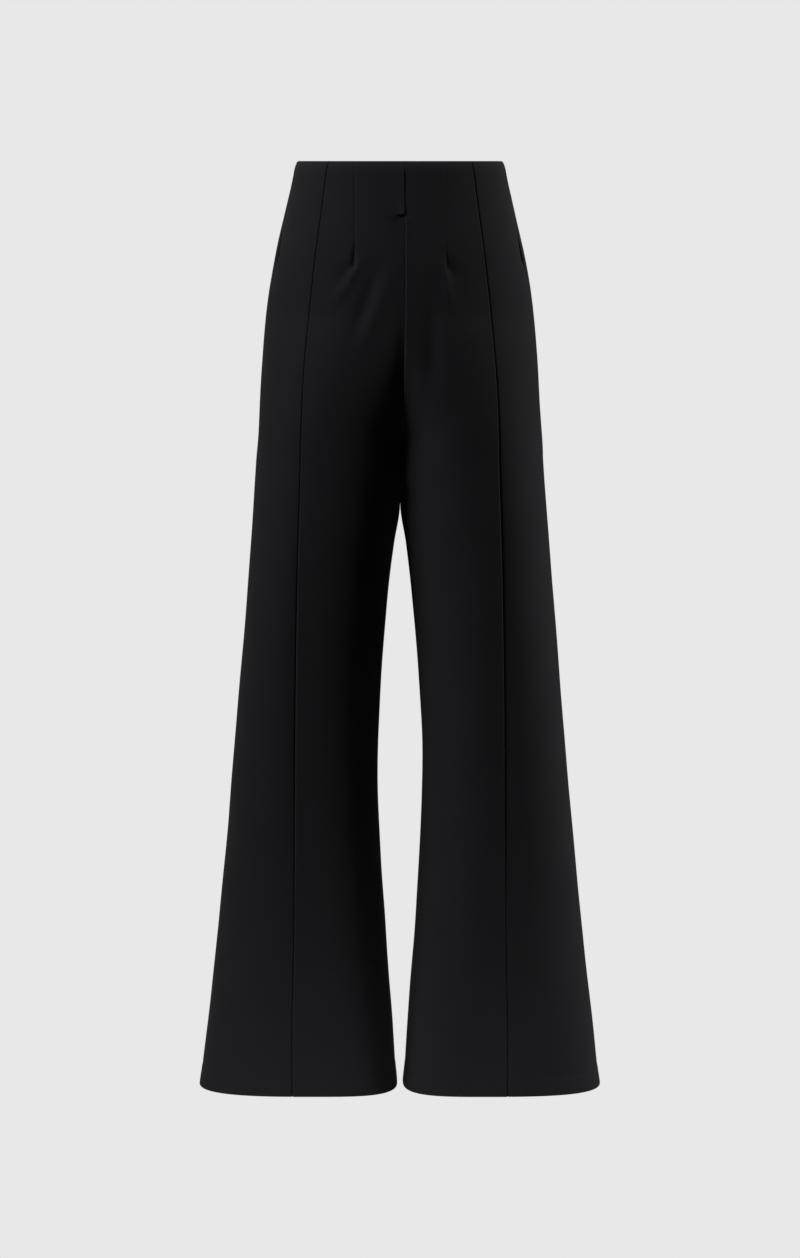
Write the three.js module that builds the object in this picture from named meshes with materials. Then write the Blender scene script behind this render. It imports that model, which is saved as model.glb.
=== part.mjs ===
// Straight-leg trousers, worn shape with no wearer, in millimetres.
// +Z is up, the front faces -Y, and the origin is the middle of the waist opening.
// Every height below is a drop: the distance under the waist edge.
// Each half is one cut section of cloth that runs from the centre front (or the
// inside leg, below the fork) round the outside to the centre back. Panels are
// stretches of that section, and their walls follow it inwards.

import * as THREE from 'three';

// ---- driving sizes

const length = 1077;              // waist edge to hem
const fork = 338;                 // where the two legs part
const parting = 400;              // a panel is one cloth, made here as a hip and a leg length
const wall = 1.6;                 // double knit cloth
const seamGap = 0.3;              // between pieces that are sewn together
const hemTurnUp = 20;
const hemWall = 3;                // two layers at the turned-up hem
const waistRoll = { drop: 6, inset: 2.2, wall: 2.6 };   // soft turned edge
const clothColour = 0x1c1c1f;

// Worn shape, a row for each level.
//   side     middle to the outside of the hip or leg
//   inside   middle to the inside of the leg, under the fork
//   fullest  middle to where the leg stands furthest forward and back
//   front, back   how far the cloth stands before and behind the middle
//   widest   how far back the side lies
const shape = [
  { drop: 0, side: 119.6, inside: 0, fullest: 0, front: 88, back: 88, widest: 0 },
  { drop: 20, side: 122.9, inside: 0, fullest: 0, front: 90, back: 92, widest: 0 },
  { drop: 60, side: 132.2, inside: 0, fullest: 0, front: 94, back: 102, widest: 2 },
  { drop: 100, side: 141.8, inside: 0, fullest: 0, front: 98, back: 113, widest: 4 },
  { drop: 140, side: 149.3, inside: 0, fullest: 0, front: 100, back: 121, widest: 6 },
  { drop: 170, side: 153.4, inside: 0, fullest: 0, front: 101, back: 126, widest: 7 },
  { drop: 200, side: 156.4, inside: 0, fullest: 26, front: 101, back: 128, widest: 8 },
  { drop: 240, side: 159.4, inside: 0, fullest: 50, front: 100, back: 126, widest: 8 },
  { drop: 290, side: 162.4, inside: 0, fullest: 72, front: 98, back: 120, widest: 8 },
  { drop: 338, side: 165.4, inside: 0, fullest: 81, front: 96, back: 115, widest: 8 },
  { drop: 400, side: 169.9, inside: 0.1, fullest: 89, front: 95, back: 110, widest: 8 },
  { drop: 440, side: 173, inside: 6.5, fullest: 94, front: 94, back: 107, widest: 8 },
  { drop: 500, side: 177.8, inside: 13.7, fullest: 100, front: 92, back: 103, widest: 8 },
  { drop: 600, side: 186.2, inside: 22.1, fullest: 105, front: 89, back: 97, widest: 8 },
  { drop: 700, side: 195, inside: 25.9, fullest: 107, front: 86, back: 93, widest: 8 },
  { drop: 800, side: 203.9, inside: 22.8, fullest: 105, front: 83, back: 90, widest: 8 },
  { drop: 900, side: 214.3, inside: 16.4, fullest: 99, front: 80, back: 88, widest: 8 },
  { drop: 1000, side: 225.7, inside: 9.1, fullest: 96, front: 78, back: 87, widest: 8 },
  { drop: 1077, side: 234.6, inside: 4.3, fullest: 95, front: 77.5, back: 87, widest: 8 },
];

// How square each quarter of the section is: 2 is a plain ellipse and more is squarer.
//   outer    towards the side
//   inner    towards the other leg
const fullness = [
  { drop: 0, outer: 2.35, inner: 2.5 }, { drop: 170, outer: 2.35, inner: 2.5 },
  { drop: 240, outer: 2.35, inner: 2.2 }, { drop: 338, outer: 2.35, inner: 2.1 },
  { drop: 460, outer: 2.5, inner: 2.1 }, { drop: 600, outer: 2.6, inner: 2.1 },
  { drop: 800, outer: 2.6, inner: 2.2 }, { drop: 950, outer: 2.5, inner: 2.5 },
  { drop: 1077, outer: 3, inner: 3.3 },
];

// Seams and darts, by their distance from the middle.
const frontSeam = [
  { drop: 0, out: 81.8 }, { drop: 50, out: 88.3 }, { drop: 100, out: 95 },
  { drop: 155, out: 101.3 }, { drop: 195, out: 105.4 }, { drop: 235, out: 109.2 },
  { drop: 275, out: 111.6 }, { drop: 350, out: 113.7 }, { drop: 475, out: 117.3 },
  { drop: 640, out: 120 }, { drop: 880, out: 122 }, { drop: 1000, out: 124.6 },
  { drop: 1077, out: 124.6 },
];
const centreFrontShift = [        // the closing lies a little to the wearer's left
  { drop: 0, out: 4.5 }, { drop: 60, out: 5.4 }, { drop: 200, out: 5.2 },
  { drop: 290, out: 4 }, { drop: 338, out: 0 }, { drop: 1077, out: 0 },
];
const shiftReach = 70;            // the cloth takes up that shift within this width
const frontDart = { end: 118, groove: 0.9 };
const backDart = { end: 135, groove: 0.7 };
const frontDartLine = [           // the dart, then the mesh line that carries on below it
  { drop: 0, out: 52.2 }, { drop: 118, out: 52.5 }, { drop: 338, out: 62 },
  { drop: 1077, out: 74 },
];
const backDartLine = [
  { drop: 0, out: 56 }, { drop: 135, out: 59 }, { drop: 338, out: 66 },
  { drop: 1077, out: 78 },
];

const crotchStart = 170;          // where the centre seams turn in under the body
const crotchCurve = { steep: 2.1, round: 0.66 };

const pocketMouth = {
  from: 22, to: 121, gape: 7, widestAt: 0.86, forward: 29, leanReach: 242,
};
const pocketBag = {
  from: 12, to: 255, width: 108, narrowest: 0.62, wall: 2, clear: 0.9, turn: 9, columns: 6,
};
const overlap = { end: 60, lift: 1.1, sink: 0.7, reach: 16 };
const underlap = { from: 7, to: 176, right: 12, left: 30, wall: 1.6, clear: 0.4, columns: 5 };

// Panels of one half: the lines they lie between, the mesh columns from each line to
// the next, and the dart sewn along the middle line.
const panelCuts = {
  front_centre: { lines: ['centreFront', 'frontDart', 'frontSeam'], columns: [7, 3], dart: frontDart },
  front_side: { lines: ['frontSeam', 'side'], columns: [5] },
  back: { lines: ['side', 'backDart', 'centreBack'], columns: [6, 7], dart: backDart },
};

// Soft folds down the back of each leg: depth is inwards, across is half its width.
// The last one runs out past the hem.
const backFolds = [
  { out: 66, from: 330, to: 800, depth: 4, across: 34 },
  { out: 132, from: 520, to: 1700, depth: 4, across: 42 },
];

const pocketWidest = THREE.MathUtils.lerp(pocketMouth.from, pocketMouth.to, pocketMouth.widestAt);

// Levels of the mesh, closer together where the shape turns quickly.
const levelBands = [
  { to: waistRoll.drop, steps: 2 }, { to: overlap.end - 2, steps: 2 },
  { to: overlap.end + 2, steps: 1 }, { to: pocketWidest, steps: 2 },
  { to: pocketMouth.to, steps: 2 }, { to: crotchStart, steps: 2 },
  { to: (crotchStart + fork) / 2, steps: 4 }, { to: fork, steps: 10, crowd: 1.8 },
  { to: parting - seamGap / 2, steps: 3 }, { to: parting + seamGap / 2, steps: 1 },
  { to: length - hemTurnUp - 1, steps: 14 }, { to: length - hemTurnUp + 1, steps: 1 },
  { to: length, steps: 2 },
];
const quarterSteps = 36;          // points on each quarter of a section

// ---- small helpers

// Value of a column at a drop, along a smooth curve through the table's rows.
function along(table, drop, column) {
  let i = 0;
  while (i < table.length - 2 && drop > table[i + 1].drop) i += 1;
  const slope = (k) => {
    const before = table[Math.max(k - 1, 0)];
    const after = table[Math.min(k + 1, table.length - 1)];
    return (after[column] - before[column]) / (after.drop - before.drop);
  };
  const a = table[i];
  const b = table[i + 1];
  const span = b.drop - a.drop;
  const t = THREE.MathUtils.clamp((drop - a.drop) / span, 0, 1);
  const s = t * t * (3 - 2 * t);
  const bendA = slope(i) * span * t * (1 - t) * (1 - t);
  const bendB = slope(i + 1) * span * t * t * (1 - t);
  return a[column] + (b[column] - a[column]) * s + bendA - bendB;
}

// 1 in the middle of a stretch, smoothly 0 at its ends.
function bump(value, low, high) {
  const t = THREE.MathUtils.clamp((value - low) / (high - low), 0, 1);
  return Math.sin(Math.PI * t) ** 2;
}

function levels() {
  const drops = [0];
  for (const band of levelBands) {
    const start = drops[drops.length - 1];
    for (let k = 1; k <= band.steps; k += 1) {
      const left = (1 - k / band.steps) ** (band.crowd || 1);
      drops.push(band.to - (band.to - start) * left);
    }
  }
  return drops;
}

// ---- section of one half, for the wearer's left (+X)

// Share of the front or back depth that is left where the two halves meet.
function crotchShare(drop) {
  const t = THREE.MathUtils.clamp((drop - crotchStart) / (fork - crotchStart), 0, 1);
  return (1 - t ** crotchCurve.steep) ** crotchCurve.round;
}

// Points of one quarter, from the fullest point towards the side or the middle.
function quarter(middle, reach, depth, full, stop) {
  const last = Math.acos(Math.min(stop ** (full / 2), 1));
  const points = [];
  for (let k = 0; k <= quarterSteps; k += 1) {
    const angle = Math.PI / 2 + ((last - Math.PI / 2) * k) / quarterSteps;
    points.push([
      middle + reach * Math.max(Math.cos(angle), 0) ** (2 / full),
      depth * Math.max(Math.sin(angle), 0) ** (2 / full),
    ]);
  }
  return points;
}

// One inner quarter: it ends at the middle above the fork, at the inseam below it.
function innerQuarter(row, drop, depth) {
  if (drop <= crotchStart) return [[0, depth]];
  const full = along(fullness, drop, 'inner');
  if (drop >= fork) return quarter(row.fullest, row.inside - row.fullest, depth, full, 1);
  const share = crotchShare(drop);
  const stop = (1 - share ** full) ** (1 / full);
  return quarter(row.fullest, -row.fullest / stop, depth, full, stop);
}

// The whole half section: centre front or inseam, front, side, back, and round.
function halfSection(drop) {
  const row = {};
  for (const column of ['side', 'inside', 'fullest', 'front', 'back', 'widest']) {
    row[column] = along(shape, drop, column);
  }
  if (drop < crotchStart) row.fullest = 0;
  row.inside = Math.max(row.inside, 0);      // the legs touch but never cross
  const reach = row.side - row.fullest;
  const full = along(fullness, drop, 'outer');
  const frontDepth = row.front + row.widest;
  const backDepth = row.back - row.widest;
  const front = [
    ...innerQuarter(row, drop, frontDepth).reverse(),
    ...quarter(row.fullest, reach, frontDepth, full, 1).slice(1),
  ].map(([x, y]) => [x, row.widest - y]);
  const back = [
    ...quarter(row.fullest, reach, backDepth, full, 1).reverse().slice(1),
    ...innerQuarter(row, drop, backDepth).slice(1),
  ].map(([x, y]) => [x, row.widest + y]);
  const points = [...front, ...back].map(([x, y]) => [x + seamGap / 2, y]);
  const arc = [0];
  for (let k = 1; k < points.length; k += 1) {
    const step = Math.hypot(points[k][0] - points[k - 1][0], points[k][1] - points[k - 1][1]);
    arc.push(arc[k - 1] + step);
  }
  return { drop, points, arc, total: arc[arc.length - 1], sideIndex: front.length - 1 };
}

// Point and outward direction at a distance along a half section.
function onSection(section, distance) {
  const s = THREE.MathUtils.clamp(distance, 0, section.total);
  let k = 1;
  while (k < section.arc.length - 1 && section.arc[k] < s) k += 1;
  const [a, b] = [section.points[k - 1], section.points[k]];
  const span = section.arc[k] - section.arc[k - 1] || 1;
  const t = (s - section.arc[k - 1]) / span;
  const heading = (i) => {
    const p = section.points[Math.max(i - 1, 0)];
    const q = section.points[Math.min(i + 1, section.points.length - 1)];
    const gap = Math.hypot(q[0] - p[0], q[1] - p[1]) || 1;
    return [(q[0] - p[0]) / gap, (q[1] - p[1]) / gap];
  };
  const [h, g] = [heading(k - 1), heading(k)];
  const run = [h[0] + (g[0] - h[0]) * t, h[1] + (g[1] - h[1]) * t];
  const size = Math.hypot(...run) || 1;
  return {
    x: a[0] + (b[0] - a[0]) * t,
    y: a[1] + (b[1] - a[1]) * t,
    outX: run[1] / size,
    outY: -run[0] / size,
  };
}

// Distance along the section where its front or back passes a given width.
function distanceAtWidth(section, width, isFront) {
  const { points, arc, sideIndex } = section;
  const step = isFront ? -1 : 1;
  let k = sideIndex;
  while (points[k + step] && points[k][0] > width) k += step;
  const [a, b] = [points[k], points[k - step]];
  const t = a[0] === b[0] ? 0 : (width - a[0]) / (b[0] - a[0]);
  return arc[k] + (arc[k - step] - arc[k]) * t;
}

// ---- lines that divide the section, as distances along it

const cuts = {
  centreFront: () => 0,
  frontDart: (section) => (
    distanceAtWidth(section, along(frontDartLine, section.drop, 'out'), true)
  ),
  frontSeam: (section) => distanceAtWidth(section, along(frontSeam, section.drop, 'out'), true),
  side: (section) => {       // it leans forward towards the foot of the pocket mouth
    const { to, leanReach } = pocketMouth;
    const lean = bump(section.drop, to - leanReach, to + leanReach);
    return section.arc[section.sideIndex] - pocketMouth.forward * lean;
  },
  backDart: (section) => (
    distanceAtWidth(section, along(backDartLine, section.drop, 'out'), false)
  ),
  centreBack: (section) => section.total,
};

// ---- cloth relief, outwards from the plain section

function waistInset(drop) {
  const t = Math.max(1 - drop / waistRoll.drop, 0);
  return waistRoll.inset * t * t;
}

function foldDepth(section, distance) {
  if (distance < section.arc[section.sideIndex]) return 0;
  const point = onSection(section, distance);
  let depth = 0;
  for (const fold of backFolds) {
    const down = bump(section.drop, fold.from, fold.to);
    depth += fold.depth * down * bump(point.x, fold.out - fold.across, fold.out + fold.across);
  }
  return depth;
}

// The overlap stands proud on the wearer's right, and the left half lies under it.
function overlapStep(section, distance, half) {
  if (section.drop > overlap.end) return 0;
  const near = Math.max(1 - distance / overlap.reach, 0);
  return (half < 0 ? overlap.lift : -overlap.sink) * near;
}

function wallAt(drop) {
  if (drop >= length - hemTurnUp) return hemWall;
  const t = Math.max(1 - drop / waistRoll.drop, 0);
  return wall + (waistRoll.wall - wall) * t;
}

// A point of the cloth, set in by depth, on one half (-1 right, +1 left).
function clothPoint(section, distance, half, inset) {
  const p = onSection(section, distance);
  const x = (p.x - p.outX * inset) * half;
  const y = p.y - p.outY * inset;
  const nearCentre = 1 - THREE.MathUtils.smoothstep(Math.abs(x), 0, shiftReach);
  const inFront = distance < section.arc[section.sideIndex] ? 1 : 0;
  const shift = along(centreFrontShift, section.drop, 'out') * nearCentre * inFront;
  return new THREE.Vector3(x + shift, y, -section.drop);
}

// ---- solids

// A closed slab between two matching grids of points.
function slab(outer, inner) {
  const rows = outer.length;
  const columns = outer[0].length;
  const points = [...outer.flat(), ...inner.flat()];
  const inside = rows * columns;
  const at = (row, column) => row * columns + column;
  const faces = [];
  const quad = (a, b, c, d) => faces.push(a, b, c, a, c, d);
  for (let i = 0; i < rows - 1; i += 1) {
    for (let j = 0; j < columns - 1; j += 1) {
      const [a, b, c, d] = [at(i, j), at(i + 1, j), at(i + 1, j + 1), at(i, j + 1)];
      quad(a, b, c, d);
      quad(inside + d, inside + c, inside + b, inside + a);
    }
  }
  const rim = [];
  for (let j = 0; j < columns - 1; j += 1) rim.push(at(0, j));
  for (let i = 0; i < rows - 1; i += 1) rim.push(at(i, columns - 1));
  for (let j = columns - 1; j > 0; j -= 1) rim.push(at(rows - 1, j));
  for (let i = rows - 1; i > 0; i -= 1) rim.push(at(i, 0));
  rim.forEach((a, k) => {
    const b = rim[(k + 1) % rim.length];
    quad(a, b, inside + b, inside + a);
  });
  const geometry = new THREE.BufferGeometry().setFromPoints(points);
  geometry.setIndex(faces);
  return signedVolume(geometry) < 0 ? turnedOut(geometry) : geometry;
}

function signedVolume(geometry) {
  const place = geometry.getAttribute('position');
  const index = geometry.getIndex();
  const corner = (k) => new THREE.Vector3().fromBufferAttribute(place, index.getX(k));
  let volume = 0;
  for (let k = 0; k < index.count; k += 3) {
    volume += corner(k).dot(corner(k + 1).cross(corner(k + 2))) / 6;
  }
  return volume;
}

function turnedOut(geometry) {
  const index = Array.from(geometry.getIndex().array);
  for (let k = 0; k < index.length; k += 3) [index[k], index[k + 1]] = [index[k + 1], index[k]];
  return geometry.setIndex(index);
}

function cloth(name, geometry) {
  const material = new THREE.MeshStandardMaterial({
    color: clothColour, roughness: 0.88, metalness: 0, name,
  });
  geometry.computeVertexNormals();
  const mesh = new THREE.Mesh(geometry, material);
  mesh.name = name;
  return mesh;
}

// Distances of a panel's columns: spread evenly between its dividing lines.
function columnsBetween(section, lines, counts, trims) {
  const distances = [];
  lines.slice(1).forEach((line, k) => {
    let from = cuts[lines[k]](section);
    let to = cuts[line](section);
    if (k === 0) from += trims[0];
    if (k === lines.length - 2) to -= trims[1];
    for (let j = k === 0 ? 0 : 1; j <= counts[k]; j += 1) {
      distances.push(from + ((to - from) * j) / counts[k]);
    }
  });
  return distances;
}

const sections = levels().map(halfSection);
const lengths = {                 // of each panel, above and below the parting
  hip: sections.filter(({ drop }) => drop < parting),
  leg: sections.filter(({ drop }) => drop > parting),
};

// The mouth stands open most a little above its foot.
function pocketGape(drop) {
  const { from, to, gape, widestAt } = pocketMouth;
  const t = (drop - from) / (to - from);
  if (t <= 0 || t >= 1) return 0;
  const opening = (share) => share ** 3 * (1 - share);
  return (gape * opening(t)) / opening(widestAt);
}

// One length of a panel, with a dart groove on its middle line.
function panel(name, half, stretch, { lines, columns, dart }) {
  const outer = [];
  const inner = [];
  for (const section of stretch) {
    const { drop } = section;
    const gape = lines[lines.length - 1] === 'side' ? pocketGape(drop) : 0;
    const trims = [seamGap / 2, seamGap / 2 + gape];
    const distances = columnsBetween(section, lines, columns, trims);
    const thick = wallAt(drop);
    const rowOut = [];
    const rowIn = [];
    distances.forEach((distance, column) => {
      let inset = waistInset(drop) + foldDepth(section, distance);
      inset -= overlapStep(section, distance, half);
      const plain = inset;
      if (dart && column === columns[0] && drop < dart.end) inset += dart.groove;
      rowOut.push(clothPoint(section, distance, half, inset));
      rowIn.push(clothPoint(section, distance, half, plain + thick));
    });
    outer.push(rowOut);
    inner.push(rowIn);
  }
  return cloth(name, slab(outer, inner));
}

// Flat doubled bag that hangs from the pocket mouth, against the inside of the front.
function pocket(name, half) {
  const outer = [];
  const inner = [];
  const { columns } = pocketBag;
  for (const section of sections) {
    const { drop } = section;
    if (drop < pocketBag.from || drop > pocketBag.to) continue;
    const down = (drop - pocketBag.from) / (pocketBag.to - pocketBag.from);
    const swell = pocketBag.narrowest + (1 - pocketBag.narrowest) * Math.sin(Math.PI * down);
    const width = pocketBag.width * swell;
    const side = cuts.side(section) + pocketBag.turn;
    const rowOut = [];
    const rowIn = [];
    for (let j = 0; j <= columns; j += 1) {
      const distance = side - (width * (columns - j)) / columns;
      const inset = wall + pocketBag.clear + foldDepth(section, distance);
      rowOut.push(clothPoint(section, distance, half, inset));
      rowIn.push(clothPoint(section, distance, half, inset + pocketBag.wall));
    }
    outer.push(rowOut);
    inner.push(rowIn);
  }
  return cloth(name, slab(outer, inner));
}

// Strip behind the centre front closing, from one half across to the other.
function flyUnderlap() {
  const outer = [];
  const inner = [];
  const { columns } = underlap;
  for (const section of sections) {
    const { drop } = section;
    if (drop < underlap.from || drop > underlap.to) continue;
    const rowOut = [];
    const rowIn = [];
    for (let j = 0; j <= columns; j += 1) {
      const run = -underlap.right + ((underlap.right + underlap.left) * j) / columns;
      const half = run < 0 ? -1 : 1;
      const distance = Math.abs(run);
      const inset = wall + underlap.clear + (drop <= overlap.end ? overlap.sink : 0);
      rowOut.push(clothPoint(section, distance, half, inset));
      rowIn.push(clothPoint(section, distance, half, inset + underlap.wall));
    }
    outer.push(rowOut);
    inner.push(rowIn);
  }
  return cloth('fly_underlap', slab(outer, inner));
}

// ---- the trousers

const group = new THREE.Group();
group.name = 'straight_leg_trousers';

for (const [half, side] of [[-1, 'right'], [1, 'left']]) {
  for (const [kind, cut] of Object.entries(panelCuts)) {
    for (const [stretch, rows] of Object.entries(lengths)) {
      group.add(panel(`${kind}_${side}_${stretch}`, half, rows, cut));
    }
  }
  group.add(pocket(`pocket_bag_${side}`, half));
}
group.add(flyUnderlap());

export default group;
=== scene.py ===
import math

import bpy
import numpy as np
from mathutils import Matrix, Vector


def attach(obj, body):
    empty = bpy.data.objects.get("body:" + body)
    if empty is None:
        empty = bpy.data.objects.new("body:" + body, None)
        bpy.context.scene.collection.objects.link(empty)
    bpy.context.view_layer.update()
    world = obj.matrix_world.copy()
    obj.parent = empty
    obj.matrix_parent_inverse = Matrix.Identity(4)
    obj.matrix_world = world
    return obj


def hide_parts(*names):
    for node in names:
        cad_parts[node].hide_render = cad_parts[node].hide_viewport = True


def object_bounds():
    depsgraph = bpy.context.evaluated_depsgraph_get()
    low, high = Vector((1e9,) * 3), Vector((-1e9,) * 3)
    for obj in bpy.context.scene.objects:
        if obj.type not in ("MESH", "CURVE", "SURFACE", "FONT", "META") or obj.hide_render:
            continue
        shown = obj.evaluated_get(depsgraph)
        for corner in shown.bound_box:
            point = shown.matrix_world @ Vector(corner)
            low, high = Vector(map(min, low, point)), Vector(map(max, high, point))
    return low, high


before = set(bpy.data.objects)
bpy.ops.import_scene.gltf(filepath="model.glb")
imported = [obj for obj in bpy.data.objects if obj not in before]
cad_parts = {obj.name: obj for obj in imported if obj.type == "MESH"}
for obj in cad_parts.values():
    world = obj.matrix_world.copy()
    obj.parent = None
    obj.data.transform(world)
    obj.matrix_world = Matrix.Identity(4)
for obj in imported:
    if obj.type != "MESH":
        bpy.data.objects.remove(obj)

# Straight-leg trousers in near-black double knit, worn shape with no wearer.
# Sizes of the garment are millimetres, and a drop is the distance below the waist edge.
# The cloth is drawn on the sections of the frame's solids, with more levels, with relief,
# and with the legs pressed together round the fork.

mm = 0.001
cadLow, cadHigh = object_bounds()
waistHeight = cadHigh.z
hemDrop = (cadHigh.z - cadLow.z) / mm

trouserShape = {
    "fork": 338, "crotchStart": 170, "crotchSteep": 2.1, "crotchRound": 0.66,
    "seamGap": 0.3, "quarterSteps": 60,
    # round the fork the two legs lie pressed together: the share of their depth, and from and to
    "press": 0.42, "pressedFrom": (290, 330), "pressedTo": (350, 408), "pressBlend": 3,
    # drop, how square the section is towards the side, and towards the other leg
    "fullness": ((0, 2.35, 2.5), (170, 2.35, 2.5), (240, 2.35, 2.2), (338, 2.35, 2.1), (460, 2.5, 2.1),
                 (600, 2.6, 2.1), (800, 2.6, 2.2), (950, 2.5, 2.5), (hemDrop, 3, 3.3)),
    # drop, side, inside, fullest, front, back, widest
    "rows": (
        (0, 119.6, 0, 0, 88, 88, 0),
        (20, 122.9, 0, 0, 90, 92, 0),
        (60, 132.2, 0, 0, 94, 102, 2),
        (100, 141.8, 0, 0, 98, 113, 4),
        (140, 149.3, 0, 0, 100, 121, 6),
        (170, 153.4, 0, 0, 101, 126, 7),
        (200, 156.4, 0, 26, 101, 128, 8),
        (240, 159.4, 0, 50, 100, 126, 8),
        (290, 162.4, 0, 72, 98, 120, 8),
        (338, 165.4, 0, 81, 96, 115, 8),
        (400, 169.9, 0.1, 89, 95, 110, 8),
        (440, 173, 6.5, 94, 94, 107, 8),
        (500, 177.8, 13.7, 100, 92, 103, 8),
        (600, 186.2, 22.1, 105, 89, 97, 8),
        (700, 195, 25.9, 107, 86, 93, 8),
        (800, 203.9, 22.8, 105, 83, 90, 8),
        (900, 214.3, 16.4, 99, 80, 88, 8),
        (1000, 225.7, 9.1, 96, 78, 87, 8),
        (hemDrop, 234.6, 4.3, 95, 77.5, 87, 8),
    ),
}
seamLines = {
    # drop, distance from the middle
    "frontSeam": ((0, 81.8), (50, 88.3), (100, 95), (155, 101.3), (195, 105.4),
                  (235, 109.2), (275, 111.6), (350, 113.7), (475, 117.3),
                  (640, 120), (880, 122), (1000, 124.6), (hemDrop, 124.6)),
    "frontDart": ((0, 52.2), (118, 52.5), (338, 62), (hemDrop, 74)),
    "backDart": ((0, 56), (135, 59), (338, 66), (hemDrop, 78)),
    # drop, how far the middle in front lies off to the wearer's left, with that shift's width and depth
    "centreShift": ((0, 4.5), (60, 5.4), (200, 5.2), (290, 4), (338, 3), (380, 2), (410, 0), (hemDrop, 0)),
    "shiftReach": 70, "shiftDepth": 24,
}
pocketMouth = {"from": 22, "to": 121, "gape": 7, "widestAt": 0.86, "forward": 29, "leanReach": 242}


# ---- small sums

# A smooth curve through the rows of a table, level beyond its ends.
def along(rows, drop, column=1):
    i = 0
    while i < len(rows) - 2 and drop > rows[i + 1][0]:
        i += 1

    def slope(k):
        before, after = rows[max(k - 1, 0)], rows[min(k + 1, len(rows) - 1)]
        return (after[column] - before[column]) / (after[0] - before[0])

    a, b = rows[i], rows[i + 1]
    span = b[0] - a[0]
    t = min(max((drop - a[0]) / span, 0), 1)
    eased = t * t * (3 - 2 * t)
    bend = slope(i) * t * (1 - t) ** 2 - slope(i + 1) * t * t * (1 - t)
    return a[column] + (b[column] - a[column]) * eased + span * bend


def bump(value, low, high):
    t = np.clip((value - low) / (high - low), 0, 1)
    return np.sin(math.pi * t) ** 2


def ramp(value, low, high):
    t = np.clip((value - low) / (high - low), 0, 1)
    return t * t * (3 - 2 * t)


def hill(value, width):
    return np.exp(-((value / width) ** 2))


# ---- the section of one half, from centre front or inseam round to centre back

def quarter(middle, reach, depth, fullness, stop):
    last = math.acos(min(stop ** (fullness / 2), 1))
    angle = np.linspace(math.pi / 2, last, trouserShape["quarterSteps"] + 1)
    x = middle + reach * np.maximum(np.cos(angle), 0) ** (2 / fullness)
    y = depth * np.maximum(np.sin(angle), 0) ** (2 / fullness)
    return np.stack([x, y], axis=1)


# Towards the middle the section ends at the centre seam above the fork and at the
# inseam below it. Where it would pass the other leg it lies flat against it.
def innerQuarter(row, drop, depth):
    s = trouserShape
    if drop <= s["crotchStart"]:
        return np.array([[0.0, depth]])
    t = min((drop - s["crotchStart"]) / (s["fork"] - s["crotchStart"]), 1)
    end = (1 - t ** s["crotchSteep"]) ** s["crotchRound"]
    pressed = s["press"] * ramp(drop, *s["pressedFrom"]) * (1 - ramp(drop, *s["pressedTo"]))
    meet = (end ** s["pressBlend"] + pressed ** s["pressBlend"]) ** (1 / s["pressBlend"])
    full = row["innerFullness"]
    stop = (1 - min(meet, 1) ** full) ** (1 / full)
    curve = quarter(row["fullest"], (row["inside"] - row["fullest"]) / stop, depth, full,
                    (1 - end ** full) ** (1 / full))
    curve[:, 0] = np.maximum(curve[:, 0], row["inside"])
    return curve


def halfSection(drop):
    s = trouserShape
    names = ("side", "inside", "fullest", "front", "back", "widest")
    row = {name: along(s["rows"], drop, k + 1) for k, name in enumerate(names)}
    row["outerFullness"], row["innerFullness"] = (along(s["fullness"], drop, k) for k in (1, 2))
    row["inside"] = max(row["inside"], 0)      # the legs touch but never cross
    if drop < s["crotchStart"]:
        row["fullest"] = 0
    reach = row["side"] - row["fullest"]
    frontDepth, backDepth = row["front"] + row["widest"], row["back"] - row["widest"]
    outerFront = quarter(row["fullest"], reach, frontDepth, row["outerFullness"], 1)
    outerBack = quarter(row["fullest"], reach, backDepth, row["outerFullness"], 1)
    front = np.concatenate([innerQuarter(row, drop, frontDepth)[::-1], outerFront[1:]])
    back = np.concatenate([outerBack[::-1][1:], innerQuarter(row, drop, backDepth)[1:]])
    front[:, 1] = row["widest"] - front[:, 1]
    back[:, 1] = row["widest"] + back[:, 1]
    points = np.concatenate([front, back])
    points[:, 0] += s["seamGap"] / 2
    steps = np.linalg.norm(np.diff(points, axis=0), axis=1)
    arc = np.concatenate([[0], np.cumsum(steps)])
    run = np.gradient(points, axis=0)
    run /= np.linalg.norm(run, axis=1)[:, None]
    return {"drop": drop, "points": points, "arc": arc, "total": arc[-1], "run": run,
            "side": arc[len(front) - 1], "sideIndex": len(front) - 1, "widest": row["widest"]}


def onSection(section, distance):
    arc = section["arc"]
    x = np.interp(distance, arc, section["points"][:, 0])
    y = np.interp(distance, arc, section["points"][:, 1])
    outX = np.interp(distance, arc, section["run"][:, 1])
    outY = -np.interp(distance, arc, section["run"][:, 0])
    size = np.hypot(outX, outY)
    return x, y, outX / size, outY / size


def distanceAtWidth(section, width, isFront):
    k, step = section["sideIndex"], -1 if isFront else 1
    points, arc = section["points"], section["arc"]
    while 0 < k < len(points) - 1 and points[k][0] > width:
        k += step
    a, b = points[k], points[k - step]
    t = 0 if a[0] == b[0] else (width - a[0]) / (b[0] - a[0])
    return arc[k] + (arc[k - step] - arc[k]) * t


def cutAt(section, line):
    drop = section["drop"]
    if line == "centreFront":
        return 0.0
    if line == "centreBack":
        return section["total"]
    if line == "side":            # leans forward round the foot of the pocket mouth
        m = pocketMouth
        lean = bump(drop, m["to"] - m["leanReach"], m["to"] + m["leanReach"])
        return section["side"] - m["forward"] * lean
    return distanceAtWidth(section, along(seamLines[line], drop), line.startswith("front"))


# ---- relief of the cloth, outwards, in the garment's own sizes

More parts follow.
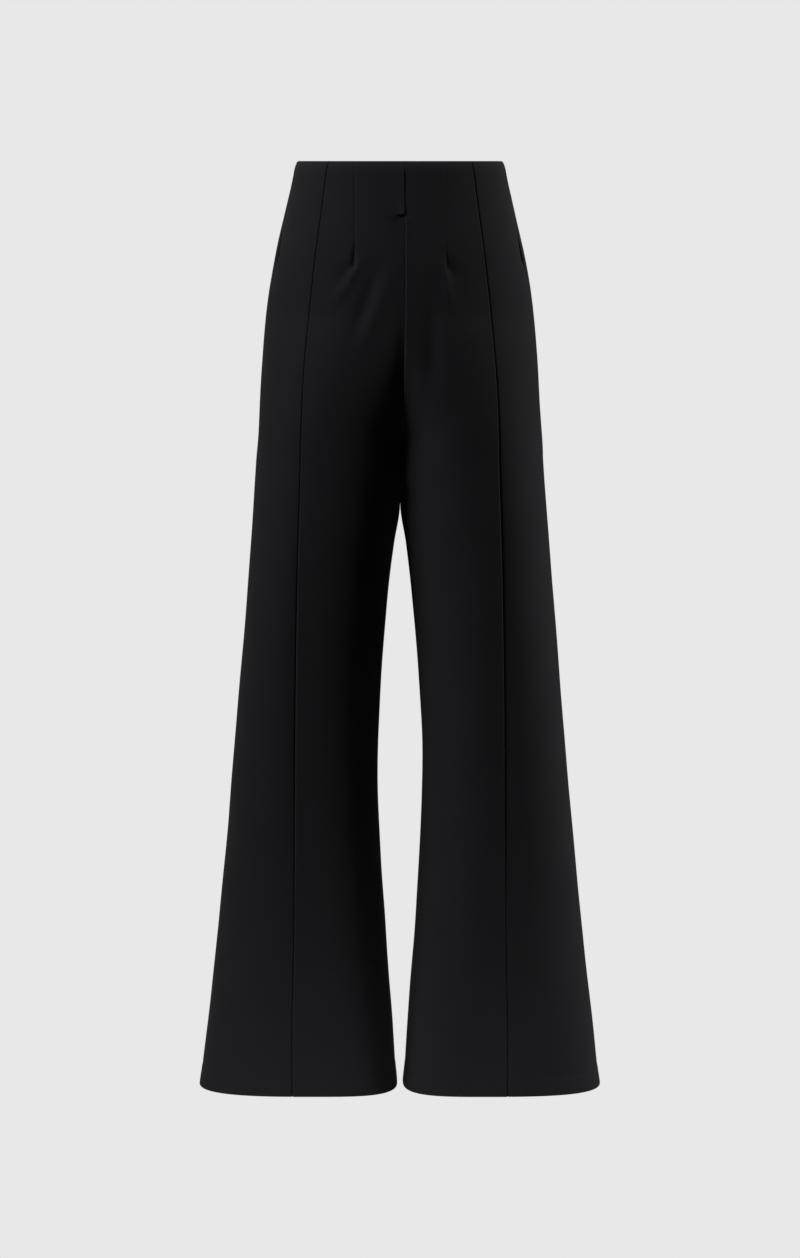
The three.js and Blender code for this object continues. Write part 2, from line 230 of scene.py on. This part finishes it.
clothRelief = {
    # thickness of the cloth, of the hem, and of the waist facing with the drop it ends at
    "wall": 1.6, "hemWall": 3, "waistWall": 2.7, "waistTurn": 24,
    # the seam allowance: its width, its own thickness, and the width of the step to it
    "allowance": 10, "allowanceWall": 1.1, "allowanceStep": 0.6,
    # how far the waist edge curls in and from which drop, and how round both edges are
    "waistCurl": 2.4, "waistCurlDrop": 12, "waistRound": 1.3, "hemRound": 0.7,
}
seamRolls = {
    # how the cloth turns down into each seam: radius, dip
    "centreFront": (0.6, 0.2), "inseam": (1.2, 0.15), "frontSeam": (1.9, 1.9),
    "side": (1.5, 1.25), "centreBack": (1.5, 1.25),
}
# The turnings of the long front seam are pressed to the middle. The side panel falls
# gently to the seam, and the middle panel stands over it in a small lip.
frontSeamFall = {
    "depth": ((0, 0.5), (200, 0.6), (330, 1.6), (450, 2.6), (700, 2.4), (920, 0.8), (hemDrop, 0.5)),
    "reach": 25, "lip": 0.35, "lipWidth": 3, "lipRoll": 2.4,
}
frontDart = {"end": 120, "mouthFrom": 84, "mouth": 3.2, "leftMouth": 2.0, "mouthWidth": 3.0, "flare": 1.2}
backDart = {"end": 135, "mouthFrom": 108, "mouth": 2.0, "leftMouth": 2.0, "mouthWidth": 2.6, "flare": 0}
# What the darts share. All but the line's depth and width, and the mouth's narrowest share,
# are drops from the dart's end.
dartLine = {"depth": 0.5, "width": 0.9, "fades": -6, "fullAt": 2, "closesFrom": -3, "closesTo": 4,
            "narrowest": 0.4}
flyOverlap = {
    "end": 60, "endBlend": 0.6, "reach": 15, "lift": 0.3, "sink": 0.35,
    # the edge of the right front, which grows flatter on its way down
    "lip": 0.75, "lipWidth": 2.4, "lipFade": 0.55,
    # where the two fronts part a little: drops, depth and width
    "opensFrom": 4, "opensOver": 9, "widestAt": 22, "widestTo": 30, "closesAt": 52,
    "part": 0.9, "partWidth": 2,
    # the loose corner, the slit below it, and the hollow under that
    "cornerLift": 1.3, "cornerWidth": 5.5, "cornerHeight": 9,
    "slit": 2.6, "slitLength": 7, "slitFade": 2, "slitDown": 1.6, "slitHeight": 1.2,
    "hollow": 2.6, "hollowAt": 6, "hollowWidth": 9, "hollowFall": 11, "hollowEase": 8,
}
centreRidge = {
    "from": 61, "startsOver": 4, "to": 335, "endsOver": 60,
    "lift": 1.0, "rise": 1.8, "fallWidth": 5, "sinkWidth": 11,
    "sink": ((0, 0.5), (61, 0.5), (130, 0.7), (180, 1.6), (240, 2.5), (335, 2.3), (400, 2.0)),
}
backFolds = (
    # distance from the middle, from, to, depth inwards, half width
    (66, 330, 800, 4, 34),
    (132, 520, 1700, 4, 42),
)
hemTurn = {"up": 20, "step": 0.45, "stepAbove": 0.6, "stepBelow": 0.8, "flare": 0.7}
# Faint ridges where the turnings of the front seam press through near the hem.
pressMarks = {"off": 15.5, "from": 912, "to": 968, "height": 0.35, "halfWidth": 1.6}
# Small folds that fan out below the darts and the fly, different on the two halves.
dartFolds = (
    # half, distance from the middle, drop there, slope, from, to, height, half width
    (-1, 51, 119, 0.55, 98, 172, 2.4, 6.5),
    (-1, 61, 124, 0.2, 108, 148, -2.2, 6),
    (-1, 27, 113, 0.3, 96, 222, -2.0, 8),
    (-1, 15, 122, 0.33, 102, 232, 1.5, 8),
    (1, 59, 119, 0.3, 104, 138, -2.4, 5),
    (1, 46, 115, 0.25, 100, 180, 1.9, 5.5),
    (1, 32, 180, 0.04, 108, 300, -3.4, 14),
)
# Very slight unevenness of cloth that hangs, the same on each run.
clothWaves = {
    # height, length down the leg, length round it, shift between the halves
    "waves": ((0.22, 41, 23, 1), (0.18, 63, -37, 2), (0.12, 19, 31, 1.3)),
    "from": 20, "full": 120,
}


def foldRelief(section, x, isFront):
    out = np.zeros_like(x)
    for at, start, end, depth, across in backFolds:
        out -= ~isFront * depth * bump(section["drop"], start, end) * bump(x, at - across, at + across)
    return out


def dartFoldRelief(section, distance, half):
    drop = section["drop"]
    out = np.zeros_like(distance)
    for side, at, atDrop, slope, start, end, height, across in dartFolds:
        if side == half:
            out += height * bump(drop, start, end) * hill(distance - at - slope * (drop - atDrop), across)
    return out * (distance < section["side"])


# The turned-up hem shows as a slight step at its blind stitching and stands out a little.
def hemRelief(drop):
    h, top = hemTurn, hemDrop - hemTurn["up"]
    step = h["step"] * ramp(drop, top - h["stepAbove"], top + h["stepBelow"])
    return step + h["flare"] * ramp(drop, top, hemDrop)


def pressRelief(section, distance):
    m = pressMarks
    off = np.abs(distance - cutAt(section, "frontSeam")) - m["off"]
    return m["height"] * bump(section["drop"], m["from"], m["to"]) * hill(off, m["halfWidth"])


# A stitched line that opens into a small hollow at its point.
def dartRelief(section, distance, line, dart, half):
    drop, end, shared = section["drop"], dart["end"], dartLine
    off = distance - cutAt(section, line)
    lineDepth = shared["depth"] * (1 - ramp(drop, end + shared["fades"], end))
    opening = ramp(drop, dart["mouthFrom"], end + shared["fullAt"])
    opening *= 1 - ramp(drop, end + shared["closesFrom"], end + shared["closesTo"])
    widen = ramp(drop, dart["mouthFrom"], end)
    width = dart["mouthWidth"] * (shared["narrowest"] + (1 - shared["narrowest"]) * widen)
    mouth = dart["mouth" if half < 0 else "leftMouth"] * opening
    return -lineDepth * hill(off, shared["width"]) - mouth * hill(off - dart["flare"] * widen, width)


# The right front lies over the left down to the end of the fly. Its edge stands up a
# little, and its loose lower corner leaves a slit with a hollow under it.
def flyRelief(section, distance, half):
    fly, drop = flyOverlap, section["drop"]
    near = np.clip(1 - distance / fly["reach"], 0, 1)
    upper = 1 - ramp(drop, fly["end"] - fly["endBlend"], fly["end"] + fly["endBlend"])
    opened = ramp(drop, fly["opensFrom"], fly["opensFrom"] + fly["opensOver"])
    if half > 0:
        parted = ramp(drop, fly["opensFrom"], fly["widestAt"])
        parted *= 1 - ramp(drop, fly["widestTo"], fly["closesAt"])
        part = fly["part"] * parted * hill(distance, fly["partWidth"])
        return -(fly["sink"] * near * opened + part) * upper
    down = max(drop - fly["end"], 0)
    lip = fly["lip"] * (1 - fly["lipFade"] * drop / fly["end"]) * np.exp(-distance / fly["lipWidth"])
    corner = fly["cornerLift"] * hill(fly["end"] - drop, fly["cornerHeight"])
    corner *= hill(distance, fly["cornerWidth"])
    out = ((fly["lift"] * near + lip) * opened + corner) * upper
    slit = hill(down - fly["slitDown"], fly["slitHeight"]) * (down > 0)
    out -= fly["slit"] * slit * ramp(-distance, -fly["slitLength"], -fly["slitFade"])
    nearCorner = hill(distance, fly["slitLength"])
    onset = nearCorner * (1 - upper) + (1 - nearCorner) * ramp(down, 0, fly["hollowEase"])
    hollow = hill(distance - fly["hollowAt"], fly["hollowWidth"]) * math.exp(-down / fly["hollowFall"])
    return out - fly["hollow"] * hollow * onset


# Below the fly the left edge of the centre front seam is a fine ridge, and the
# right front falls to it.
def centreRelief(section, distance, half):
    r, drop = centreRidge, section["drop"]
    share = ramp(drop, r["from"], r["from"] + r["startsOver"])
    share *= 1 - ramp(drop, r["to"] - r["endsOver"], r["to"])
    if half > 0:
        fall = hill(np.maximum(distance - r["rise"], 0), r["fallWidth"])
        return r["lift"] * share * ramp(distance, 0, r["rise"]) * fall
    return -along(r["sink"], drop) * share * hill(distance, r["sinkWidth"])


def calmWaves(section, distance, half):
    drop = section["drop"]
    out = sum(height * np.sin(drop / downwards + distance / around + shift * half)
              for height, downwards, around, shift in clothWaves["waves"])
    return out * ramp(drop, clothWaves["from"], clothWaves["full"])


# The quarter turn of the cloth down into a seam.
def rollRelief(edge, radius, dip):
    t = np.clip(1 - edge / radius, 0, 1)
    return -dip * (1 - np.sqrt(np.maximum(1 - t * t, 0)))


def seamRelief(kind, line, edge, drop):
    fall = frontSeamFall
    name = "inseam" if line.startswith("centre") and drop > trouserShape["fork"] else line
    radius, dip = seamRolls[name]
    if line != "frontSeam":
        return rollRelief(edge, radius, dip)
    depth = along(fall["depth"], drop)
    if kind == "front_side":
        return rollRelief(edge, radius, dip) - depth * np.clip(1 - edge / fall["reach"], 0, 1) ** 2
    return rollRelief(edge, fall["lipRoll"], dip + depth) + fall["lip"] * hill(edge, fall["lipWidth"])


def waistRelief(drop):
    t = max(1 - drop / clothRelief["waistCurlDrop"], 0)
    return -clothRelief["waistCurl"] * t * t


# How far the two faces of the cloth are rounded off at the waist edge and the hem fold.
def edgeRounding(drop, thick):
    toEdge = min(drop, hemDrop - drop)
    radius = min(thick / 2, clothRelief["waistRound" if drop < hemDrop / 2 else "hemRound"])
    t = max(1 - toEdge / radius, 0)
    return radius * (1 - math.sqrt(max(1 - t * t, 0)))


# One layer, and two at the seam allowances, the waist facing and the hem.
def wallThickness(drop, edges):
    c = clothRelief
    thick = np.full_like(edges, c["wall"])
    thick += c["allowanceWall"] * ramp(-edges, -c["allowance"] - c["allowanceStep"], -c["allowance"])
    if drop > hemDrop - hemTurn["up"]:
        return np.maximum(thick, c["hemWall"])
    return np.maximum(thick, c["waistWall"]) if drop < c["waistTurn"] else thick


# Where a point of the cloth is, half being -1 on the wearer's right and 1 on the left.
def clothPoint(section, distance, half, out, atMiddle=False):
    x, y, outX, outY = onSection(section, distance)
    x, y = np.where(atMiddle, 0, (x + outX * out) * half), y + outY * out
    near = 1 - ramp(np.abs(x), 0, seamLines["shiftReach"])
    inFront = ramp(section["widest"] - y, 0, seamLines["shiftDepth"]) * (distance < section["side"])
    x = x + along(seamLines["centreShift"], section["drop"]) * near * inFront
    return np.stack([x * mm, y * mm, np.full_like(x, waistHeight - section["drop"] * mm)], axis=1)


# Where a point lies on the flat cloth, which the knit and the weave follow.
def layPoint(section, distance):
    down = np.full_like(distance, section["drop"] * mm)
    return np.stack([distance * mm, down, np.zeros_like(distance)], axis=1)


# ---- levels and columns of the mesh

levelBands = (
    # to, step: closer where the cloth turns
    (1.4, 0.28), (6, 0.9), (24, 3.6), (25, 0.5), (56, 4), (66, 0.8), (90, 4), (118, 2),
    (126, 1), (170, 4), (240, 4), (300, 4), (324, 2.4), (334, 1.2), (338, 0.5), (345, 1.4),
    (380, 4), (hemDrop - 22, 5.2), (hemDrop - 19, 0.4), (hemDrop - 1.8, 3.4), (hemDrop, 0.2),
)
# Columns lie closer towards a seam, and are squeezed together where the stretch is narrow.
seamColumns = {"steps": (0, 0.12, 0.35, 0.7, 1.1, 1.6, 2.2, 3, 4.2, 6), "narrow": 24}


def levels():
    drops = [0.0]
    for end, step in levelBands:
        start = drops[-1]
        count = max(round((end - start) / step), 1)
        drops += [start + (end - start) * (k + 1) / count for k in range(count)]
    return drops


def stretchColumns(start, end, middle):
    edge = np.array(seamColumns["steps"]) * min(1, (end - start) / seamColumns["narrow"])
    inner = np.linspace(start + edge[-1], end - edge[-1], middle + 2)[1:-1]
    return np.concatenate([start + edge, inner, end - edge[::-1]])


sections = [halfSection(drop) for drop in levels()]
print("sections of the cloth:", len(sections))


# ---- meshes

def clothShell(name, outer, inner, lay):
    rows, columns = outer.shape[:2]
    points = np.concatenate([outer.reshape(-1, 3), inner.reshape(-1, 3)])
    index = np.arange(rows * columns).reshape(rows, columns)
    quads = np.stack([index[:-1, :-1], index[1:, :-1], index[1:, 1:], index[:-1, 1:]], axis=-1)
    quads = quads.reshape(-1, 4)
    inside = rows * columns
    rim = np.concatenate([index[0, :-1], index[:-1, -1], index[-1, :0:-1], index[:0:-1, 0]])
    after = np.roll(rim, -1)
    rimQuads = np.stack([rim, after, inside + after, inside + rim], axis=1)
    faces = np.concatenate([quads, inside + quads[:, ::-1], rimQuads])
    a, b, c = (points[quads[:, k]] for k in (0, 1, 2))
    push = points[quads[:, 0]] - points[inside + quads[:, 0]]
    if (np.cross(b - a, c - a) * push).sum() < 0:
        faces = faces[:, ::-1]
    mesh = bpy.data.meshes.new(name)
    mesh.from_pydata(points.tolist(), [], faces.tolist())
    mesh.polygons.foreach_set("use_smooth", np.ones(len(faces), bool))
    weave = mesh.attributes.new("lay", "FLOAT_VECTOR", "POINT")
    weave.data.foreach_set("vector", np.concatenate([lay, lay]).reshape(-1).astype(np.float32))
    mesh.update()
    piece = bpy.data.objects.new(name, mesh)
    bpy.context.scene.collection.objects.link(piece)
    return piece


# ---- materials

def linear(hexColour):
    values = [int(hexColour[k:k + 2], 16) / 255 for k in (1, 3, 5)]
    return [v / 12.92 if v <= 0.04045 else ((v + 0.055) / 1.055) ** 2.4 for v in values] + [1.0]


def addNode(tree, kind, settings=None, links=None):
    node = tree.nodes.new(kind)
    for key, value in (settings or {}).items():
        if isinstance(key, str) and hasattr(node, key):
            setattr(node, key, value)
        else:
            node.inputs[key].default_value = value
    for key, source in (links or {}).items():
        tree.links.new(source, node.inputs[key])
    return node


def newMaterial(name):
    material = bpy.data.materials.new(name)
    material.use_nodes = True
    material.node_tree.nodes.clear()
    return material, material.node_tree


doubleKnit = {
    "colour": "#1d1d20", "worn": "#222226", "roughness": 0.86, "specular": 0.18,
    "sheen": 0.07, "sheenRoughness": 0.5,
    "wale": 1.4, "course": 1.1, "unevenLoops": 0.55, "grain": 0.9, "grainDetail": 3.0,
    # broad changes of shade to the metre, and how much of the grain joins them
    "shade": 14.0, "shadeDetail": 2.0, "grainInShade": 0.55,
    "loopsInRelief": 0.6, "bump": 0.25, "bumpHeight": 0.0002,
}


# Matt double knit: dense loops too fine to make out, so it reads as smooth cloth
# with a soft dry grain and a faint bloom where it turns away.
def makeDoubleKnit():
    k = doubleKnit
    material, tree = newMaterial("doubleKnitMattBlack")
    lay = addNode(tree, "ShaderNodeAttribute", {"attribute_name": "lay"}).outputs["Vector"]
    ribs = addNode(tree, "ShaderNodeMapping", {"Scale": (1000 / k["wale"], 1000 / k["course"], 1)},
                   {"Vector": lay}).outputs["Vector"]
    loops = addNode(tree, "ShaderNodeTexVoronoi", {"Scale": 1.0, "Randomness": k["unevenLoops"]},
                    {"Vector": ribs}).outputs["Distance"]
    grain = addNode(tree, "ShaderNodeTexNoise", {"Scale": 1000 / k["grain"], "Detail": k["grainDetail"]},
                    {"Vector": lay}).outputs["Fac"]
    shade = addNode(tree, "ShaderNodeTexNoise", {"Scale": k["shade"], "Detail": k["shadeDetail"]},
                    {"Vector": lay}).outputs["Fac"]
    mix = addNode(tree, "ShaderNodeMath", {"operation": "MULTIPLY_ADD", 1: k["grainInShade"]},
                  {0: grain, 2: shade}).outputs[0]
    # the mix node names several sockets alike, so its colours go by number
    colour = addNode(tree, "ShaderNodeMix", {"data_type": "RGBA", 6: linear(k["colour"]),
                                             7: linear(k["worn"])}, {0: mix}).outputs[2]
    relief = addNode(tree, "ShaderNodeMath", {"operation": "MULTIPLY_ADD", 1: k["loopsInRelief"]},
                     {0: loops, 2: grain}).outputs[0]
    bumped = addNode(tree, "ShaderNodeBump", {"Strength": k["bump"], "Distance": k["bumpHeight"]},
                     {"Height": relief}).outputs["Normal"]
    cloth = addNode(tree, "ShaderNodeBsdfPrincipled",
                    {"Roughness": k["roughness"], "Specular IOR Level": k["specular"],
                     "Sheen Weight": k["sheen"], "Sheen Roughness": k["sheenRoughness"]},
                    {"Base Color": colour, "Normal": bumped}).outputs["BSDF"]
    addNode(tree, "ShaderNodeOutputMaterial", None, {"Surface": cloth})
    return material


pocketing = {"colour": "#17171a", "roughness": 0.75, "specular": 0.3, "thread": 0.5,
             "bump": 0.3, "bumpHeight": 0.0001}


# Plain woven pocket lining: thinner and a little smoother than the knit.
def makePocketing():
    k = pocketing
    material, tree = newMaterial("pocketingPlainWeave")
    lay = addNode(tree, "ShaderNodeAttribute", {"attribute_name": "lay"}).outputs["Vector"]
    weave = addNode(tree, "ShaderNodeTexChecker", {"Scale": 1000 / k["thread"]},
                    {"Vector": lay}).outputs["Fac"]
    bumped = addNode(tree, "ShaderNodeBump", {"Strength": k["bump"], "Distance": k["bumpHeight"]},
                     {"Height": weave}).outputs["Normal"]
    cloth = addNode(tree, "ShaderNodeBsdfPrincipled",
                    {"Base Color": linear(k["colour"]), "Roughness": k["roughness"],
                     "Specular IOR Level": k["specular"]}, {"Normal": bumped}).outputs["BSDF"]
    addNode(tree, "ShaderNodeOutputMaterial", None, {"Surface": cloth})
    return material


knitMaterial = makeDoubleKnit()
pocketMaterial = makePocketing()
print("materials made")


# ---- the panels

panels = {
    # lines from centre front round to centre back, and the columns of mesh between them;
    # a dart lies on the middle line, cut is the flat size in metres and area in square metres
    "front_centre": {"lines": ("centreFront", "frontDart", "frontSeam"), "middle": (24, 8),
                     "dart": frontDart, "cut": (0.24, 1.13), "area": 0.17},
    "front_side": {"lines": ("frontSeam", "side"), "middle": (16,), "dart": None,
                   "cut": (0.18, 1.13), "area": 0.13},
    "back": {"lines": ("side", "backDart", "centreBack"), "middle": (22, 24),
             "dart": backDart, "cut": (0.36, 1.14), "area": 0.33},
}


# The pocket mouth stands open most a little above its foot.
def pocketGape(drop):
    m = pocketMouth
    t = min(max((drop - m["from"]) / (m["to"] - m["from"]), 0), 1)
    power = m["widestAt"] / (1 - m["widestAt"])
    return m["gape"] * t ** power * (1 - t) / (m["widestAt"] ** power * (1 - m["widestAt"]))


def makePanel(kind, side, half):
    spec, gap = panels[kind], trouserShape["seamGap"] / 2
    first, last = spec["lines"][0], spec["lines"][-1]
    outer, inner, lay = [], [], []
    for section in sections:
        drop = section["drop"]
        cutLines = [cutAt(section, line) for line in spec["lines"]]
        cutLines[0] += gap
        cutLines[-1] -= gap
        if last == "side":
            cutLines[-1] -= pocketGape(drop)
        columns = np.concatenate([
            stretchColumns(cutLines[k], cutLines[k + 1], middle)[(1 if k else 0):]
            for k, middle in enumerate(spec["middle"])])
        edges = np.minimum(columns - cutLines[0], cutLines[-1] - columns)
        x = onSection(section, columns)[0]
        out = foldRelief(section, x, columns < section["side"])
        out += calmWaves(section, columns, half) + waistRelief(drop) + hemRelief(drop)
        out += seamRelief(kind, first, columns - cutLines[0], drop)
        out += seamRelief(kind, last, cutLines[-1] - columns, drop)
        if spec["dart"]:
            out += dartRelief(section, columns, spec["lines"][1], spec["dart"], half)
        if kind == "front_centre":
            out += flyRelief(section, columns, half) + centreRelief(section, columns, half)
        if kind != "back":
            out += dartFoldRelief(section, columns, half) + pressRelief(section, columns)
        thick = wallThickness(drop, edges)
        rounded = edgeRounding(drop, float(thick.mean()))
        outer.append(clothPoint(section, columns, half, out - rounded))
        # The inner face reaches to the seam itself, where it meets the next panel's.
        reach, joined = columns.copy(), np.zeros(len(columns), bool)
        reach[0] -= gap
        reach[-1] += gap
        if drop < trouserShape["fork"]:
            joined[0], joined[-1] = first.startswith("centre"), last.startswith("centre")
        inner.append(clothPoint(section, reach, half, out - thick + rounded, joined))
        lay.append(layPoint(section, columns))
    name = kind.replace("_", " ").title().replace(" ", "") + side.title() + "Cloth"
    piece = clothShell(name[0].lower() + name[1:], np.array(outer), np.array(inner), np.concatenate(lay))
    piece.data.materials.append(knitMaterial)
    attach(piece, "root")
    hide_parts(f"{kind}_{side}_hip", f"{kind}_{side}_leg")


for side, half in (("right", -1), ("left", 1)):
    for kind in panels:
        makePanel(kind, side, half)
print("panels made")


# ---- pocket bags and the strip behind the fly

pocketBag = {"from": 12, "to": 255, "width": 108, "narrowest": 0.62, "wall": 2, "clear": 2.2,
             "turn": 9, "edgeThin": 0.8, "edgeReach": 6, "columns": 26, "step": 5,
             "cut": (0.11, 0.25), "area": 0.024}
underlap = {"from": 7, "to": 176, "right": 12, "left": 30, "wall": 1.6, "clear": 1.5,
            "sinkFades": (56, 68), "columns": 20, "step": 4, "cut": (0.045, 0.17)}


def evenDrops(spec):
    return np.linspace(spec["from"], spec["to"], int((spec["to"] - spec["from"]) / spec["step"]) + 1)


def makePocketBag(side, half):
    b = pocketBag
    outer, inner, lay = [], [], []
    for drop in evenDrops(b):
        section = halfSection(float(drop))
        down = (drop - b["from"]) / (b["to"] - b["from"])
        width = b["width"] * (b["narrowest"] + (1 - b["narrowest"]) * math.sin(math.pi * down))
        end = cutAt(section, "side") + b["turn"]
        columns = np.linspace(end - width, end, b["columns"])
        x = onSection(section, columns)[0]
        edges = np.minimum(columns - columns[0], columns[-1] - columns)
        edges = np.minimum(edges, min(drop - b["from"], b["to"] - drop))
        out = foldRelief(section, x, columns < section["side"]) + calmWaves(section, columns, half)
        out -= clothRelief["wall"] + b["clear"]
        thin = b["edgeThin"] * (1 - ramp(edges, 0, b["edgeReach"]))
        outer.append(clothPoint(section, columns, half, out - thin))
        inner.append(clothPoint(section, columns, half, out - b["wall"] + thin))
        lay.append(layPoint(section, columns))
    piece = clothShell(f"pocketBag{side.title()}Cloth", np.array(outer), np.array(inner), np.concatenate(lay))
    piece.data.materials.append(pocketMaterial)
    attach(piece, "root")
    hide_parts(f"pocket_bag_{side}")


def makeUnderlap():
    u = underlap
    outer, inner, lay = [], [], []
    run = np.linspace(-u["right"], u["left"], u["columns"])
    columns, half = np.abs(run), np.where(run < 0, -1, 1)
    for drop in evenDrops(u):
        section = halfSection(float(drop))
        sink = flyOverlap["sink"] * (1 - ramp(drop, *u["sinkFades"]))
        out = np.full_like(columns, -clothRelief["wall"] - u["clear"] - sink)
        outer.append(clothPoint(section, columns, half, out))
        inner.append(clothPoint(section, columns, half, out - u["wall"]))
        lay.append(layPoint(section, run))
    piece = clothShell("flyUnderlapCloth", np.array(outer), np.array(inner), np.concatenate(lay))
    piece.data.materials.append(knitMaterial)
    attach(piece, "root")
    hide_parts("fly_underlap")


for side, half in (("right", -1), ("left", 1)):
    makePocketBag(side, half)
makeUnderlap()
print("pockets and underlap made")


# ---- studio

# Metres, as are the lights and the camera.
studio = {"pale": "#e8e8e8", "floorBelowHem": 0.45, "floorSize": 12.0}


# Pale paper that is seen, and doesn't light the cloth.
def makeFloor():
    place = (0, 0, cadLow.z - studio["floorBelowHem"])
    bpy.ops.mesh.primitive_plane_add(size=studio["floorSize"], location=place)
    floor = bpy.context.object
    floor.name = "paperFloor"
    material, tree = newMaterial("paperPaleLit")
    glow = addNode(tree, "ShaderNodeEmission", {"Color": linear(studio["pale"]), "Strength": 1.0}).outputs[0]
    addNode(tree, "ShaderNodeOutputMaterial", None, {"Surface": glow})
    floor.data.materials.append(material)
    floor.visible_diffuse = floor.visible_glossy = False


# The room is as pale as the paper to the eye, and gives no light of its own.
def makeWorld():
    world = bpy.data.worlds.new("paleRoom")
    bpy.context.scene.world = world
    world.use_nodes = True
    tree = world.node_tree
    tree.nodes.clear()
    seen = addNode(tree, "ShaderNodeLightPath").outputs["Is Camera Ray"]
    pale = addNode(tree, "ShaderNodeBackground", {"Color": linear(studio["pale"]),
                                                  "Strength": 1.0}).outputs[0]
    dark = addNode(tree, "ShaderNodeBackground", {"Strength": 0.0}).outputs[0]
    mixed = addNode(tree, "ShaderNodeMixShader", None, {0: seen, 1: dark, 2: pale}).outputs[0]
    addNode(tree, "ShaderNodeOutputWorld", None, {"Surface": mixed})


lights = {
    # place, aim, width, height, watts
    "leftSoftbox": ((-2.17, -1.43, 1.4), (0, 0, -0.5), 1.7, 2.2, 56),
    "rightSoftbox": ((2.6, 0.1, -0.2), (0, 0, -0.5), 1.0, 2.2, 36),
    "hemStrip": ((-0.03, -0.31, -1.2), (0, -0.08, -1.0), 1.1, 0.12, 0.74),
    "rearSoftbox": ((0, 2.6, 0.6), (0, 0, -0.5), 1.0, 2.2, 26),
    "topSoftbox": ((0, 0.1, 2.2), (0, 0, 0), 0.8, 0.8, 18),
}


def makeLights():
    for name, (place, aim, width, height, watts) in lights.items():
        light = bpy.data.lights.new(name, "AREA")
        light.shape, light.size, light.size_y, light.energy = "RECTANGLE", width, height, watts
        holder = bpy.data.objects.new(name, light)
        holder.location = place
        holder.rotation_euler = (Vector(aim) - Vector(place)).to_track_quat("-Z", "Y").to_euler()
        holder.visible_camera = False
        bpy.context.scene.collection.objects.link(holder)


cameraSettings = {"distance": 4.6, "lens": 114.04, "sensor": 36, "pitch": 6.698}


def makeCamera():
    data = bpy.data.cameras.new("frontView")
    data.lens = cameraSettings["lens"]
    data.sensor_width = cameraSettings["sensor"]
    camera = bpy.data.objects.new("frontView", data)
    camera.location = (0, -cameraSettings["distance"], waistHeight)
    camera.rotation_euler = (math.radians(90 - cameraSettings["pitch"]), 0, 0)
    bpy.context.scene.collection.objects.link(camera)
    bpy.context.scene.camera = camera


makeFloor()
makeWorld()
makeLights()
makeCamera()
bpy.context.scene.view_settings.view_transform = "Standard"
print("studio made")
